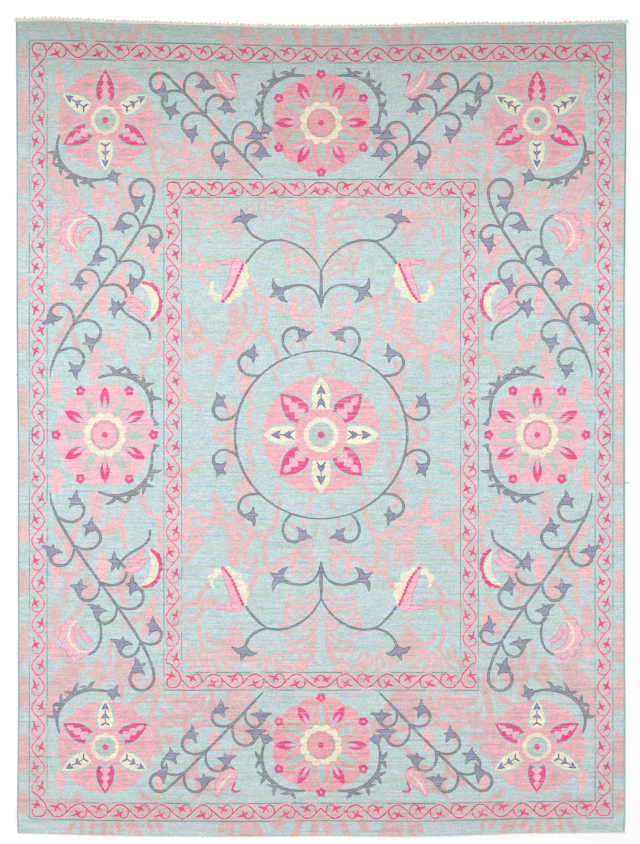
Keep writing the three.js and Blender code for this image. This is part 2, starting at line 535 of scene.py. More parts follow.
def tiered(start, end, width, tiers=3):
    """A motif of tiers, each a little narrower than the one nearer the flower's centre."""
    half = [(start, 0.0)]
    for tier in range(tiers):
        along = tier / tiers
        side = width * (1 - along) ** 0.5
        for share, narrowed in ((0.0, 0.75), (0.3, 1.0), (0.9, 0.25)):
            half.append((start + (along + share / tiers) * (end - start) + 0.5, side * narrowed))
    return [*half, (end, 0.0)]


def dart(base, tip, width):
    """A small arrowhead."""
    span = tip - base
    return [(base + span * 0.15, 0.0), (base, width), (base + span * 0.45, width * 0.62), (tip, 0.0)]


RED_PETAL = half_petal(82, 219, 41, 30, notch=24)
RED_INSIDE = tiered(99, 202, 24)
MIDDLE_RED_PETAL = half_petal(112, 262, 53, 38, notch=16)
MIDDLE_RED_INSIDE = tiered(124, 240, 32)
CREAM_PETAL = half_petal(88, 224, 35, 26)
MIDDLE_CREAM_PETAL = half_petal(116, 262, 42, 38, 0.4)
SPLIT_LEAF = half_petal(104, 209, 21.5, belly=0.5)
SPLIT_LEAF_INSIDE = half_petal(104, 170, 8.5, belly=0.4)
GARLAND_CORE = half_petal(94, 192, 19, 13)
DUSKY_PATCH = half_petal(146, 192, 20, 8, 0.45)


def garland_rib(hand):
    """One of the two curved lines beside each heart-shaped petal."""
    places = [step / 5 for step in range(6)]
    return [(88 + 112 * t, hand * 49 * math.cos(math.radians(70 * t**1.2))) for t in places]


def on_petal(centre, angle, points):
    """Points given by their distance from the flower's centre and to the left of a petal."""
    axis = direction(angle)
    side = Vector((-axis.y, axis.x))
    return [Vector(centre) + axis * r + side * s for r, s in points]


def petal(centre, angle, half, grown=0.0):
    """A closed outline that is symmetric about a petal, from its left half, or grown by a margin."""
    if grown:
        start, end = min(half[0][0], half[1][0]), half[-1][0]
        half = [(start - 2, 0), *[(r, s + grown) for r, s in half if s > grown], (end + grown * 0.7, 0)]
    return on_petal(centre, angle, [*half, *[(r, -s) for r, s in reversed(half) if s]])


def red_petal(cartoon, centre, angle, half, inside, flips):
    """A magenta petal with a light pink motif of three tiers inside."""
    cartoon.fill(petal(centre, angle, half, 10), "halo", flips)
    cartoon.fill(petal(centre, angle, half), "magenta", flips)
    cartoon.fill(petal(centre, angle, inside), "blush", flips)


def cream_petal(cartoon, centre, angle, half, rim, spray, flips):
    """A cream petal with a blue-grey spray on it: a forked stem, an arrowhead and a crown."""
    cartoon.fill(petal(centre, angle, half, rim), "halo", flips)
    cartoon.fill(petal(centre, angle, half), "cream", flips)
    foot, fork, top = spray["stem"]
    stem = on_petal(centre, angle, [(fork, 0), (top, 0)])
    cartoon.fill(brushed(stem, (5, 5)), "slate_edge", flips, 1.0)
    for hand in (-1, 1):
        prong = on_petal(centre, angle, [(foot, 21 * hand), ((foot + fork) / 2, 14 * hand), (fork, 0)])
        cartoon.fill(brushed(prong, (3, 7, 8)), "slate_edge", flips, 1.0)
    for shape in spray["darts"]:
        cartoon.fill(petal(centre, angle, dart(*shape)), "slate_edge", flips, 1.0)
        base, tip, width = shape
        cartoon.fill(petal(centre, angle, dart(base + 1.5, tip - 3, width * 0.6)), "slate", flips, 1.0)


def flower_heart(cartoon, centre, flips, rings):
    """The rings at the middle of a round flower, from the outermost inwards."""
    for radius, lobes, depth, yarn in rings:
        cartoon.fill(ring_outline(centre, radius, lobes, depth), yarn, flips)


# On a spray the stem's foot, its fork and its top, then each dart's base, its tip and its half width.
CORNER_SPRAY = {"stem": (98, 112, 172), "darts": ((172, 208, 17), (133, 158, 21))}
MIDDLE_SPRAY = {"stem": (119, 144, 186), "darts": ((182, 228, 22), (138, 171, 20))}


def corner_flower(cartoon):
    """The six-petalled flower in each corner of the border."""
    centre = (972, 1412)
    cartoon.fill(ring_outline(centre, 209, 24, 11), "rose")
    for angle in range(0, 360, 60):
        cartoon.fill(petal(centre, angle, DUSKY_PATCH), "mauve", rough=7.0)
    for angle in (90, 210, 330):
        red_petal(cartoon, centre, angle, RED_PETAL, RED_INSIDE, ALL_QUARTERS)
    for angle in (30, 150, 270):
        cream_petal(cartoon, centre, angle, CREAM_PETAL, 12, CORNER_SPRAY, ALL_QUARTERS)
    flower_heart(cartoon, centre, ALL_QUARTERS, [
        (61, 10, 5, "cream"), (45, 8, 3, "sage"), (14, 0, 0, "magenta"),
    ])


def garland_flower(cartoon, centre, turn, rose, flips, stretch=1.0):
    """The flower at the middle of each side: small blooms round a ring of split leaves."""

    def fill(outline, yarn, rough=1.3):
        """Fill an outline, drawn out along the rug."""
        middle = Vector(centre)
        tall = [Vector((p.x, middle.y + (p.y - middle.y) * stretch)) for p in outline]
        cartoon.fill(tall, yarn, flips, rough)

    fill(ring_outline(centre, 212, 12, 12, turn), rose)
    for angle in range(30 + turn, 390, 60):
        fill(petal(centre, angle, GARLAND_CORE), "sage", 4.0)
        for hand in (-1, 1):
            rib = on_petal(centre, angle, garland_rib(hand))
            fill(brushed(smooth_line(rib, 18), (8, 9, 9, 7, 4)), "halo")
    for angle in range(turn, 360 + turn, 60):
        fill(petal(centre, angle, SPLIT_LEAF), "magenta")
        fill(petal(centre, angle, SPLIT_LEAF_INSIDE), "blush")
    for angle in range(30 + turn, 390, 60):
        bloom = on_petal(centre, angle, [(220, 0)])[0]
        fill(ring_outline(bloom, 17, 5, 6, angle), "magenta")
        fill(ring_outline(bloom, 6), "blush")
    for radius, lobes, depth, yarn, rough in (
        (86, 12, 12, "cream", 1.3), (63, 12, 4, "mauve_deep", 3.0), (51, 8, 3, rose, 3.0),
        (13.5, 0, 0, "magenta", 1.0),
    ):
        fill(ring_outline(centre, radius, lobes, depth), yarn, rough)


def middle_flower(cartoon):
    """The largest flower, at the middle of the field."""
    centre = (0, 0)
    cartoon.fill(ring_outline(centre, 258, 44, 11), "rose", ONCE)
    for angle in range(45, 360, 90):
        red_petal(cartoon, centre, angle, MIDDLE_RED_PETAL, MIDDLE_RED_INSIDE, ONCE)
    for angle in range(0, 360, 90):
        cream_petal(cartoon, centre, angle, MIDDLE_CREAM_PETAL, 8, MIDDLE_SPRAY, ONCE)
    flower_heart(cartoon, centre, ONCE, [
        (112, 12, 3, "rose"), (75, 12, 5, "cream"), (54, 10, 3, "sage"), (16, 0, 0, "magenta"),
    ])


# The curved leaves of paisley form. Each is a curl drawn with a brush that swells and tapers.

LEAF_LINE = 3.5


def beside(line, distance):
    """A line moved to its left, or to its right where the distance is negative."""
    last = len(line) - 1
    moved = []
    for index, point in enumerate(line):
        ahead = line[min(index + 1, last)] - line[max(index - 1, 0)]
        moved.append(point + Vector((-ahead.y, ahead.x)).normalized() * distance)
    return moved


def curved_leaf(cartoon, spine, widths, yarn, line_yarn, hand=0, knobs=0, knob=13.0):
    """A curved leaf with a thin line round it. Knobs stand on its left (1) or right (-1) side."""
    last = len(spine) - 1
    spots = []
    for index in range(knobs):
        at = round((0.14 + 0.72 * index / max(1, knobs - 1)) * last)
        spots.append(beside(spine, hand * (spread(widths, at / last) / 2 - 2))[at])
    for grown, colour in ((LEAF_LINE, line_yarn), (0.0, yarn)):
        cartoon.fill(brushed(spine, [w + 2 * grown for w in widths]), colour)
        for spot in spots:
            cartoon.fill(ring_outline(spot, knob + grown), colour)


def field_boteh(cartoon):
    """The leaf that hangs from the branching stem of the inner field: pink, with a cream back."""
    back = curl((346, 764), -82, 215, 300, 2.2)
    curved_leaf(cartoon, back, (18, 32, 38, 36, 32, 24, 15, 11, 4), "cream", "cream", -1, 6, 13.0)
    crown = bend((368, 776), (406, 794), (440, 762), (470, 786))
    curved_leaf(cartoon, crown, (24, 24, 18, 5), "blush", "rose_line")
    front = curl((374, 778), -74, 16, 196)
    widths = (50, 44, 36, 34, 30, 20, 5)
    curved_leaf(cartoon, front, widths, "blush", "rose_line")
    last = len(front) - 1
    seam = [beside(front, -spread(widths, index / last) / 2)[index] for index in range(last + 1)]
    teeth = [7 + 9 * (index % 2) for index in range(2 * len(seam) - 1)]
    cartoon.fill(brushed(smooth_line(seam, 7), teeth), "magenta")


def knobbed_boteh(cartoon):
    """The leaf with a knobbed back, on its stalk in the side border."""
    spine = curl((1054, 982), 6, -158, 222, 1.0)
    curved_leaf(cartoon, spine, (24, 46, 56, 62, 60, 50, 34, 8), "blush", "rose_line", 1, 6)
    cartoon.fill(brushed(beside(spine, -6), (6, 9, 11, 12, 12, 10, 6)), "cream")
    inner = bend((1030, 930), (1062, 925), (1084, 900), (1080, 862))
    curved_leaf(cartoon, inner, (6, 20, 24, 14, 4), "blush", "rose_line")


def crescent_boteh(cartoon):
    """The cream crescent with a bright knobbed back and pink side leaves, in the side border."""
    for side_leaf in (
        bend((888, 606), (856, 618), (822, 600), (786, 560)),
        bend((872, 562), (846, 576), (820, 560), (800, 520)),
    ):
        curved_leaf(cartoon, side_leaf, (4, 20, 26, 22, 12), "blush", "rose_line")
    spine = curl((806, 674), 192, 118, 182, 0.8)
    back = beside(spine, -12)
    curved_leaf(cartoon, back, (8, 22, 26, 28, 26, 20, 8), "magenta", "magenta", -1, 7, 10.0)
    cartoon.fill(brushed(spine, (8, 26, 34, 38, 34, 22, 6)), "cream")


def curled_boteh(cartoon):
    """The small curled leaf in the end border."""
    spine = curl((386, 1528), 32, 44, 142, 1.2)
    curved_leaf(cartoon, spine, (28, 62, 58, 44, 28, 8), "blush", "rose_line", -1, 4, 9.0)
    cartoon.fill(brushed(spine[1:-1], (5, 9, 10, 5)), "cream")
    stalk = bend((387, 1575), (402, 1608), (412, 1626), (364, 1615))
    cartoon.fill(brushed(stalk, (8, 10, 13, 7)), "magenta")


# The narrow guard bands: a running vine between two thin lines, with a small leaf in each bend.

# The vine swings between two levels, with a flat crest at even places, given as how many there are
# and where the first and the last lie. A twig leaves it beside each crest. This small repeat is
# charted one by one: the twig and its leaf, and what stands at a band's middle, are given as
# millimetres along the band from the crest, or from the middle, and from the vine's level.
GUARD_HALF = 31.0
GUARD_FLAT = 18.0
GUARD_TWIG = [(37, 22), (39, 36), (33, 54), (18, 63), (4, 58)]
GUARD_HEART = (-4, 46)
GUARD_TIPS = ((8, 64), (17, 30), (-13, 22), (-38, 56))
GUARD_TIP_WIDTHS = (13, 9, 4)
GUARD_CORNER = [(-35, 0), (-25, 23), (-5, 30), (17, 28), (27, 11), (22, -10), (10, -20)]
GUARD_LINK = [(-60, 16), (-37, -9), (-32, -29), (-15, -49), (0, -66), (17, -79)]
CORNER_HEART = (4, -24)
CORNER_TIPS = ((20, -6), (36, -30), (6, -48), (-16, -18))
GUARDS = [
    {
        "across": 1274, "along": 1711, "end": (13, 1187, 62), "side": (17, 1606, 102), "side_half": 28,
        "end_middle": [(0, -16)],
        "side_middle": [(30, -26), (0, -26)],
        "end_extras": [],
        "side_extras": [("guard_vine", [(46, -4), (41, 11), (30, 24), (14, 28), (0, 27)], (6, 6)),
                        ("guard_leaf", [(0, 26), (2, 14), (15, -2)], (14, 12, 9))],
    },
    {
        "across": 668, "along": 1108, "end": (6, 577, 110), "side": (11, 1010, 57), "side_half": 29,
        "end_middle": [(30, 28), (0, 28)],
        "side_middle": [(0, -3)],
        "end_extras": [("guard_vine", [(16, -16), (8, -24), (0, -25)], (6, 6)),
                       ("guard_leaf", [(30, 7), (24, -2), (15, -18)], (8, 11, 12)),
                       ("guard_leaf", [(8, 0), (18, -8), (34, -11), (48, -22)], (7, 9, 8, 4))],
        "side_extras": [],
    },
]
GUARD_LINE = 40.0


def crests(count, first, last):
    """Evenly spaced places of a guard vine's crests."""
    return [first + (last - first) * index / (count - 1) for index in range(count)]


def chopped(points, rounds=2):
    """The line with its corners cut round after round, which rounds them."""
    for _ in range(rounds):
        cut = [points[0]]
        for a, b in zip(points, points[1:]):
            cut += [a.lerp(b, 0.25), a.lerp(b, 0.75)]
        points = [*cut, points[-1]]
    return points


def guard_leaf(cartoon, heart, tips):
    """A small leaf: short tips that cross at its heart."""
    for tip in tips:
        line = [heart.lerp(tip, place) for place in (-0.18, 0.45, 0.86)]
        cartoon.fill(brushed(line, GUARD_TIP_WIDTHS), "guard_leaf", rough=1.6)


def guard_run(cartoon, places, middle, extras, half, hand, to_rug):
    """Draw the vine of one half of a guard side, from its corner to its middle. Hand says on which
    side of each crest the twig leaves: -1 towards the band's middle, 1 away from it."""
    flats = crests(*places)
    sides = [1 if index % 2 == 0 else -1 for index in range(len(flats))]
    line = []
    for at, side in zip(flats, sides):
        line += [(at + GUARD_FLAT, side * half), (at - GUARD_FLAT, side * half)]
    line = [to_rug(a, o) for a, o in [*line, *middle]]
    squeeze = half / GUARD_HALF

    def placed(at, side, points):
        """Points beside a crest, put in the rug."""
        return [to_rug(at + hand * a, side * (half - d * squeeze)) for a, d in points]

    twigs = [placed(at, side, GUARD_TWIG) for at, side in zip(flats, sides)]
    yarn = "guard_vine" if hand < 0 else "guard_vine_side"
    cartoon.fill(brushed(chopped(line, 1), (15, 15)), "guard_halo", rough=3.0)
    cartoon.fill(brushed(chopped(line), (6.6, 6.6)), yarn, rough=1.6)
    for twig in twigs:
        cartoon.fill(brushed(smooth_line(twig, 13), (5.8, 5.8)), yarn, rough=1.3)
    for at, side in zip(flats, sides):
        heart, *tips = placed(at, side, (GUARD_HEART, *GUARD_TIPS))
        guard_leaf(cartoon, heart, tips)
    for kind, points, widths in extras:
        stroke = smooth_line([to_rug(a, o) for a, o in points], 13)
        cartoon.fill(brushed(stroke, widths), kind, rough=1.0)


def draw_guard(cartoon, guard):
    """Draw one guard band round the rug."""
    across, along = guard["across"], guard["along"]
    guard_run(cartoon, guard["end"], guard["end_middle"], guard["end_extras"], GUARD_HALF, -1,
              lambda a, o: Vector((a, along + o)))
    guard_run(cartoon, guard["side"], guard["side_middle"], guard["side_extras"], guard["side_half"], 1,
              lambda a, o: Vector((across + o, a)))
    crossing = Vector((across, along))
    corner = [crossing + Vector(p) for p in GUARD_CORNER]
    link = [
        Vector((guard["end"][1] + GUARD_FLAT, along + GUARD_HALF)),
        *[crossing + Vector(p) for p in GUARD_LINK],
        Vector((across + guard["side_half"], guard["side"][1] + GUARD_FLAT)),
    ]
    for stroke in (corner, link):
        cartoon.fill(brushed(stroke, (14, 14)), "guard_halo", rough=3.0)
    for stroke in (corner, link):
        cartoon.fill(brushed(smooth_line(stroke, 12), (6.6, 6.6)), "guard_vine", rough=1.3)
    guard_leaf(cartoon, crossing + Vector(CORNER_HEART), [crossing + Vector(tip) for tip in CORNER_TIPS])


def guard_lines(cartoon):
    """Draw the thin dark lines beside the guard bands, broken here and there."""
    for guard in GUARDS:
        for offset in (GUARD_LINE, -GUARD_LINE):
            across, along = guard["across"] + offset, guard["along"] + offset + 2
            for flip in ALL_QUARTERS:
                for start, end, width in (
                    ((across, along), (0, along), 5.0), ((across, along), (across, 0), 4.0)
                ):
                    line = smooth_line([start, end], 60)
                    for a, b in zip(line, line[1:]):
                        worn = noise.noise(Vector((a.x * flip[0], a.y * flip[1], offset)) / 97)
                        yarn = "guard_pale" if worn > (0.1 if width < 5 else 0.25) else "guard_line"
                        cartoon.fill(brushed([a, b], (width, width)), yarn, (flip,), 1.0)


# The under-pattern: faint strokes, tone on tone, that run below all the rest. Each row sets a group
# of strokes about where the photo has such a group, and chance varies the strokes within it.

# Fans of fingers: the middle they spread from, their heading and how far they open, in degrees, how
# many there are, the distances at which they start and end, and their width.
FANS = (
    ((960, 1480), 90, 96, 14, 268, 348, 17), ((365, 1640), 90, 60, 5, 110, 190, 24),
    ((40, 1620), 90, 84, 5, 120, 205, 24), ((260, 930), 80, 120, 9, 70, 128, 13),
    ((520, 950), 95, 120, 7, 60, 126, 14), ((640, 1330), 215, 60, 4, 70, 170, 17),
)

# Ribs in a row: where the row starts and ends, how many there are, their reach and heading, and
# their width.
RIBS = (
    ((24, 985), (24, 880), 5, 120, 30, 14), ((20, 850), (20, 700), 6, 110, 20, 13),
    ((150, 900), (110, 800), 4, 70, -60, 13), ((600, 1010), (480, 1040), 5, 60, -96, 13),
    ((720, 1420), (640, 1220), 5, 80, -30, 16), ((1220, 1130), (1150, 1050), 4, 90, 200, 18),
    ((40, 600), (30, 450), 4, 70, 40, 12), ((560, 1640), (480, 1560), 4, 60, 200, 15),
)

# Nested arches: the foot they stand round, the heading they open from, how many there are, the
# radius of the innermost and the step to the next, and their width.
ARCHES = (
    ((470, 900), 60, 2, 44, 36, 15), ((610, 1190), 120, 3, 44, 36, 16), ((420, 310), 160, 2, 48, 42, 20),
    ((130, 1010), 100, 2, 40, 34, 14), ((870, 980), 30, 2, 50, 36, 17),
)

# Forked branches: the root, the heading in degrees, the reach and the width.
FORKS = (
    ((742, 1178), 80, 210, 24), ((560, 1180), 55, 170, 24), ((628, 770), 200, 140, 22),
    ((400, 470), -60, 190, 28), ((610, 560), -110, 220, 24), ((240, 610), -82, 250, 24),
    ((1150, 740), -100, 190, 28), ((900, 1000), 70, 140, 26), ((400, 1440), 60, 130, 26),
    ((1190, 420), 120, 150, 20), ((730, 520), -86, 250, 20), ((560, 120), 40, 140, 26),
    ((390, 60), -50, 100, 28), ((560, 1450), 80, 150, 22), ((330, 1180), 110, 150, 26),
    ((820, 1190), 40, 150, 24), ((880, 760), -60, 120, 26), ((1100, 560), -70, 150, 26),
    ((240, 1300), 20, 140, 30), ((1210, 900), 200, 120, 24), ((470, 760), 20, 120, 22),
    ((180, 560), 200, 130, 20), ((330, 700), -120, 150, 22), ((600, 360), 80, 170, 22),
    ((1120, 1080), -70, 170, 30), ((760, 760), 60, 130, 24), ((880, 330), 60, 130, 26),
    ((530, 1240), -30, 150, 24), ((300, 430), 60, 120, 22), ((70, 500), -70, 110, 16),
)

# Clouds: the middle, how far they run along the rug, and their width.
CLOUDS = (
    ((370, 1220), 130, 92), ((1140, 1120), 90, 100), ((850, 1090), 60, 74), ((400, 960), 80, 92),
    ((385, 520), 130, 66), ((1010, 330), 110, 62), ((940, 420), 70, 48), ((310, 210), 110, 52),
    ((870, 640), 90, 52), ((1060, 700), 80, 58), ((790, 800), 50, 48), ((410, 100), 90, 52),
    ((550, 480), 90, 44), ((1010, 1080), 70, 56), ((260, 1320), 80, 66), ((760, 1130), 50, 60),
    ((1180, 820), 70, 50), ((480, 1240), 60, 60), ((1230, 1230), 90, 50), ((316, 96), 70, 22),
    ((208, 262), 50, 24), ((60, 318), 34, 26),
)

GHOST_STEP = 34.0

# Patches in the margins beside the outer guard: how many down each half of a side.
MARGIN_PATCHES = 7
MARGIN_ACROSS = 1342.0

# Small pointed shapes in a brighter pink: each one's middle, its length and its width.
LOZENGES = (
    (983, 598, 152, 52), (481, 1382, 120, 50), (731, 1580, 146, 32), (1176, 1572, 130, 42),
    (1197, 606, 170, 40), (122, 572, 140, 32), (94, 1048, 44, 58), (1200, 975, 114, 34),
    (735, 935, 66, 28), (750, 845, 116, 58), (1192, 202, 128, 58),
)


def arc(start, end, bow, step):
    """A plain arc between two places, bowed to its left by a share of its span."""
    start, end = Vector(start), Vector(end)
    across = end - start
    middle = start.lerp(end, 0.5) + Vector((-across.y, across.x)) * bow
    return smooth_line([start, middle, end], step)


def shaken(point, dice, by=9.0):
    """A place moved a little by chance."""
    return Vector(point) + Vector((dice.uniform(-by, by), dice.uniform(-by, by)))


def fan_strokes(middle, heading, opening, count, near, far, width, dice):
    """Fingers that spread from a middle, each with its own length and bow."""
    for index in range(count):
        angle = heading + opening * (index / (count - 1) - 0.5) + dice.uniform(-3, 3)
        start = Vector(middle) + direction(angle) * near * dice.uniform(0.85, 1.2)
        end = Vector(middle) + direction(angle) * far * dice.uniform(0.85, 1.1)
        finger = arc(start, end, dice.uniform(-0.14, 0.14), GHOST_STEP)
        yield finger, (width, width * dice.uniform(0.9, 1.3))


def rib_strokes(first, last, count, reach, heading, width, dice):
    """Short bowed strokes in a row, like ribs."""
    for index in range(count):
        root = shaken(Vector(first).lerp(Vector(last), index / (count - 1)), dice, 4.0)
        tip = root + direction(heading + dice.uniform(-9, 9)) * reach * dice.uniform(0.6, 1.1)
        rib = arc(root, tip, dice.uniform(0.1, 0.3), GHOST_STEP)
        yield rib, (width, width * dice.uniform(0.8, 1.2))


def arch_strokes(foot, heading, count, first, pitch, width, dice):
    """Nested arches, each broken in two."""
    for index in range(count):
        radius = first + pitch * index
        for hand in (-1, 1):
            low, high = dice.uniform(6, 22), dice.uniform(62, 96)
            middle = shaken(foot, dice, 5.0)
            line = []
            for step in range(5):
                around = heading + hand * (low + (high - low) * step / 4)
                line.append(middle + direction(around) * radius * dice.uniform(0.95, 1.05))
            yield smooth_line(line, GHOST_STEP), (width * 0.8, width, width * dice.uniform(0.8, 1.2))


def fork_strokes(root, heading, reach, width, dice):
    """A branch that divides in two."""
    split = shaken(root, dice) + direction(heading) * reach * 0.55
    yield arc(Vector(root), split, dice.uniform(-0.1, 0.1), GHOST_STEP), (width, width * 0.9)
    for hand in (-1, 1):
        tip = split + direction(heading + hand * dice.uniform(16, 44)) * reach * dice.uniform(0.45, 0.75)
        line = arc(split, tip, hand * dice.uniform(0.0, 0.2), GHOST_STEP)
        yield line, (width * 0.9, width * dice.uniform(0.7, 1.3))


def cloud_strokes(middle, run, width, dice):
    """A blot with an uneven outline."""
    top = shaken(middle, dice) + Vector((dice.uniform(-20, 20), run / 2))
    foot = shaken(middle, dice) - Vector((dice.uniform(-20, 20), run / 2))
    yield arc(top, foot, dice.uniform(-0.2, 0.2), GHOST_STEP), (width * 0.5, width, width * 0.7)


def draw_under_pattern(cartoon, dice):
    """Draw the faint strokes, and the weak bands of pink under the guards."""
    for rows, strokes in (
        (FANS, fan_strokes), (RIBS, rib_strokes), (ARCHES, arch_strokes),
        (FORKS, fork_strokes), (CLOUDS, cloud_strokes),
    ):
        for row in rows:
            for line, widths in strokes(*row, dice):
                cartoon.ghost(line, widths)
    for index in range(MARGIN_PATCHES):
        along = HALF_LENGTH * (index + 0.5) / MARGIN_PATCHES + dice.uniform(-40, 40)
        span = dice.uniform(40, 170)
        ends = [Vector((MARGIN_ACROSS, along + sign * span / 2)) for sign in (1, -1)]
        cartoon.ghost(ends, (dice.uniform(34, 56), dice.uniform(28, 44)))
    for guard, strength in zip(GUARDS, (0.58, 0.68)):
        corner = Vector((guard["across"], guard["along"]))
        cartoon.ghost([corner, Vector((0, corner.y))], (66, 66), strength)
        cartoon.ghost([corner, Vector((corner.x, 0))], (66, 66), strength - 0.16)


def draw_lozenges(cartoon):
    """Draw the brighter shapes of the under-pattern."""
    for x, y, span, width in LOZENGES:
        half = half_petal(-span / 2, span / 2, width / 2, belly=0.5)
        cartoon.fill(resampled(petal((x, y), 90, half), 12), "salmon", rough=4.0)


def drawn_design(edge):
    """Draw the whole design, from what lies lowest to what lies on top."""
    # Without a seed the noise that makes the edges uneven starts from the time of day.
    noise.seed_set(DESIGN_SEED)
    cartoon = Cartoon(edge)
    dice = random.Random(DESIGN_SEED)
    draw_under_pattern(cartoon, dice)
    draw_lozenges(cartoon)
    guard_lines(cartoon)
    for guard in GUARDS:
        draw_guard(cartoon, guard)
    draw_vines(cartoon, dice)
    draw_field_motif(cartoon, dice)
    for draw_boteh in (field_boteh, knobbed_boteh, crescent_boteh, curled_boteh):
        draw_boteh(cartoon)
    corner_flower(cartoon)
    garland_flower(cartoon, (0, 1403), 0, "rose_top", BOTH_ENDS)
    garland_flower(cartoon, (974, 0), 30, "rose_side", BOTH_SIDES, 1.04)
    middle_flower(cartoon)
    return cartoon


# From the drawing to the pile.


def resampled(outline, step):
    """A closed outline with more points along its straight stretches."""
    points = []
    for a, b in zip(outline, outline[1:] + outline[:1]):
        count = max(1, round((b - a).length / step))
        points += [a.lerp(b, index / count) for index in range(count)]
    return points


def offset_inwards(outline, distance):
    """An anticlockwise outline moved inwards."""
    moved = []
    for index, point in enumerate(outline):
        along = (outline[(index + 1) % len(outline)] - outline[index - 1]).normalized()
        moved.append(point + Vector((-along.y, along.x)) * distance)
    return moved


class GhostField:
    """How strongly the under-pattern shows at a place, from 1 along its strokes to 0 beside them."""

    def __init__(self, strokes):
        self.spots = [spot for stroke in strokes for spot in dense(stroke)]
        self.reach = max(width for _, width, _ in self.spots)
        self.tree = kdtree.KDTree(len(self.spots))
        for index, (spot, _, _) in enumerate(self.spots):
            self.tree.insert(spot.to_3d(), index)
        self.tree.balance()

    def at(self, spot):
        """The strength at one place."""
        best = 0.0
        for _, index, distance in self.tree.find_range(spot.to_3d(), self.reach):
            _, width, strength = self.spots[index]
            best = max(best, strength * (1 - distance / width))
        return best


def dense(stroke):
    """A stroke's places, widths and strength, a few millimetres apart."""
    for (a, wide, strength), (b, next_wide, _) in zip(stroke, stroke[1:]):
        count = max(1, round((b - a).length / 6))
        for index in range(count):
            place = index / count
            yield a.lerp(b, place), wide + (next_wide - wide) * place, strength
    yield stroke[-1]


def ghost_guides(strokes):
    """The middle line and the two borders of every full stroke, as lines for the mesh to follow. The
    weaker bands lie under the guards, where the mesh is dense enough."""
    for stroke in strokes:
        if stroke[0][2] < 1.0:
            continue
        line = [spot for spot, _, _ in stroke]
        yield line
        last = len(line) - 1
        for sign in (-1, 1):
            border = []
            for index, (spot, width, _) in enumerate(stroke):
                ahead = line[min(index + 1, last)] - line[max(index - 1, 0)]
                border.append(spot + Vector((-ahead.y, ahead.x)).normalized() * width * sign)
            yield border


def knotted_mesh(cartoon, rim):
    """Knot the drawing: one flat skin of faces, each in the yarn that lies on top there."""
    outline = resampled(cartoon.edge.outline, 14)
    inner = offset_inwards(outline, rim / MM)
    spots = [*inner]
    faces = [list(range(len(inner)))]
    edges = []
    for fill in cartoon.fills:
        faces.append(list(range(len(spots), len(spots) + len(fill))))
        spots += fill
    for guide in ghost_guides(cartoon.ghosts):
        first = len(spots)
        spots += guide
        edges += [(i, i + 1) for i in range(first, len(spots) - 1)]
    found = geometry.delaunay_2d_cdt(spots, edges, faces, 1, 1e-3)
    triangles, tops = [], []
    for triangle, sources in zip(found[2], found[5]):
        if 0 in sources:
            triangles.append(triangle)
            tops.append(max(sources))
    used = sorted({index for triangle in triangles for index in triangle})
    renumbered = {index: place for place, index in enumerate(used)}
    triangles = [[renumbered[index] for index in triangle] for triangle in triangles]
    return [found[0][index] for index in used], triangles, tops


def rim_loop(triangles):
    """The flat skin's border, in order."""
    following = {}
    seen = {(a, b) for t in triangles for a, b in zip(t, (*t[1:], t[0]))}
    for a, b in seen:
        if (b, a) not in seen:
            following[a] = b
    start = next(iter(following))
    loop = [start]
    while following[loop[-1]] != start:
        loop.append(following[loop[-1]])
    return loop


class RUG_OT_pile(bpy.types.Operator):
    """Knot the pile body with its whole pattern"""

    bl_idname = "rug.pile"
    bl_label = "Pile"

    def execute(self, context):
        sizes, wools = context.scene.rug_sizes, context.scene.rug_wools
        cartoon = drawn_design(PileEdge())
        flat, triangles, tops = knotted_mesh(cartoon, sizes.rim)
        ghosts = GhostField(cartoon.ghosts)

        places = [(spot.x * MM, spot.y * MM, PILE_TOP) for spot in flat]
        loop = rim_loop(triangles)
        sides = pile_sides(flat, loop, sizes.rim, places)
        faces = [*(tuple(t) for t in triangles), *sides]
        yarns = ["ground" if top == 0 else cartoon.yarns[top - 1] for top in tops]
        yarns += ["ground"] * len(sides)

        mesh = bpy.data.meshes.new("rug_pile")
        mesh.from_pydata(places, [], faces)
        mesh.update()
        dyes = {name: (*getattr(wools, name), 1.0) for name in set(yarns)}
        colours, grounds = [], []
        for face, yarn in zip(faces, yarns):
            colours += dyes[yarn] * len(face)
            grounds += [1.0 if yarn == "ground" else 0.0] * len(face)
        strengths = [ghosts.at(Vector(p).to_2d() / MM) for p in places]
        mesh.attributes.new("wool", "FLOAT_COLOR", "CORNER").data.foreach_set("color", colours)
        mesh.attributes.new("ground", "FLOAT", "CORNER").data.foreach_set("value", grounds)
        mesh.attributes.new("under_pattern", "FLOAT", "POINT").data.foreach_set("value", strengths)
        bake_map(mesh, len(triangles), len(loop))
        mesh.materials.append(wool_pile())
        pile = bpy.data.objects.new("rug_pile", mesh)
        context.scene.collection.objects.link(pile)
        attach(pile, "root")
        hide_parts("pile_body")
        return {"FINISHED"}


def rim_places(flat, loop, out):
    """The border's places moved outwards."""
    moved = []
    for index, here in enumerate(loop):
        along = (flat[loop[(index + 1) % len(loop)]] - flat[loop[index - 1]]).normalized()
        spot = flat[here] * MM + Vector((along.y, -along.x)) * out
        moved.append((spot.x, spot.y))
    return moved


def pile_sides(flat, loop, rim, places):
    """The faces of the pile's side, ring below ring, and of its underside. Their places are added."""
    faces = []
    ring = loop
    for drop, share in RIM_RINGS:
        below = [len(places) + index for index in range(len(loop))]
        places += [(x, y, PILE_TOP - drop) for x, y in rim_places(flat, loop, rim * share)]
        for index, low in enumerate(below):
            after = (index + 1) % len(loop)
            faces.append((ring[index], low, below[after], ring[after]))
        ring = below
    return [*faces, tuple(reversed(ring))]


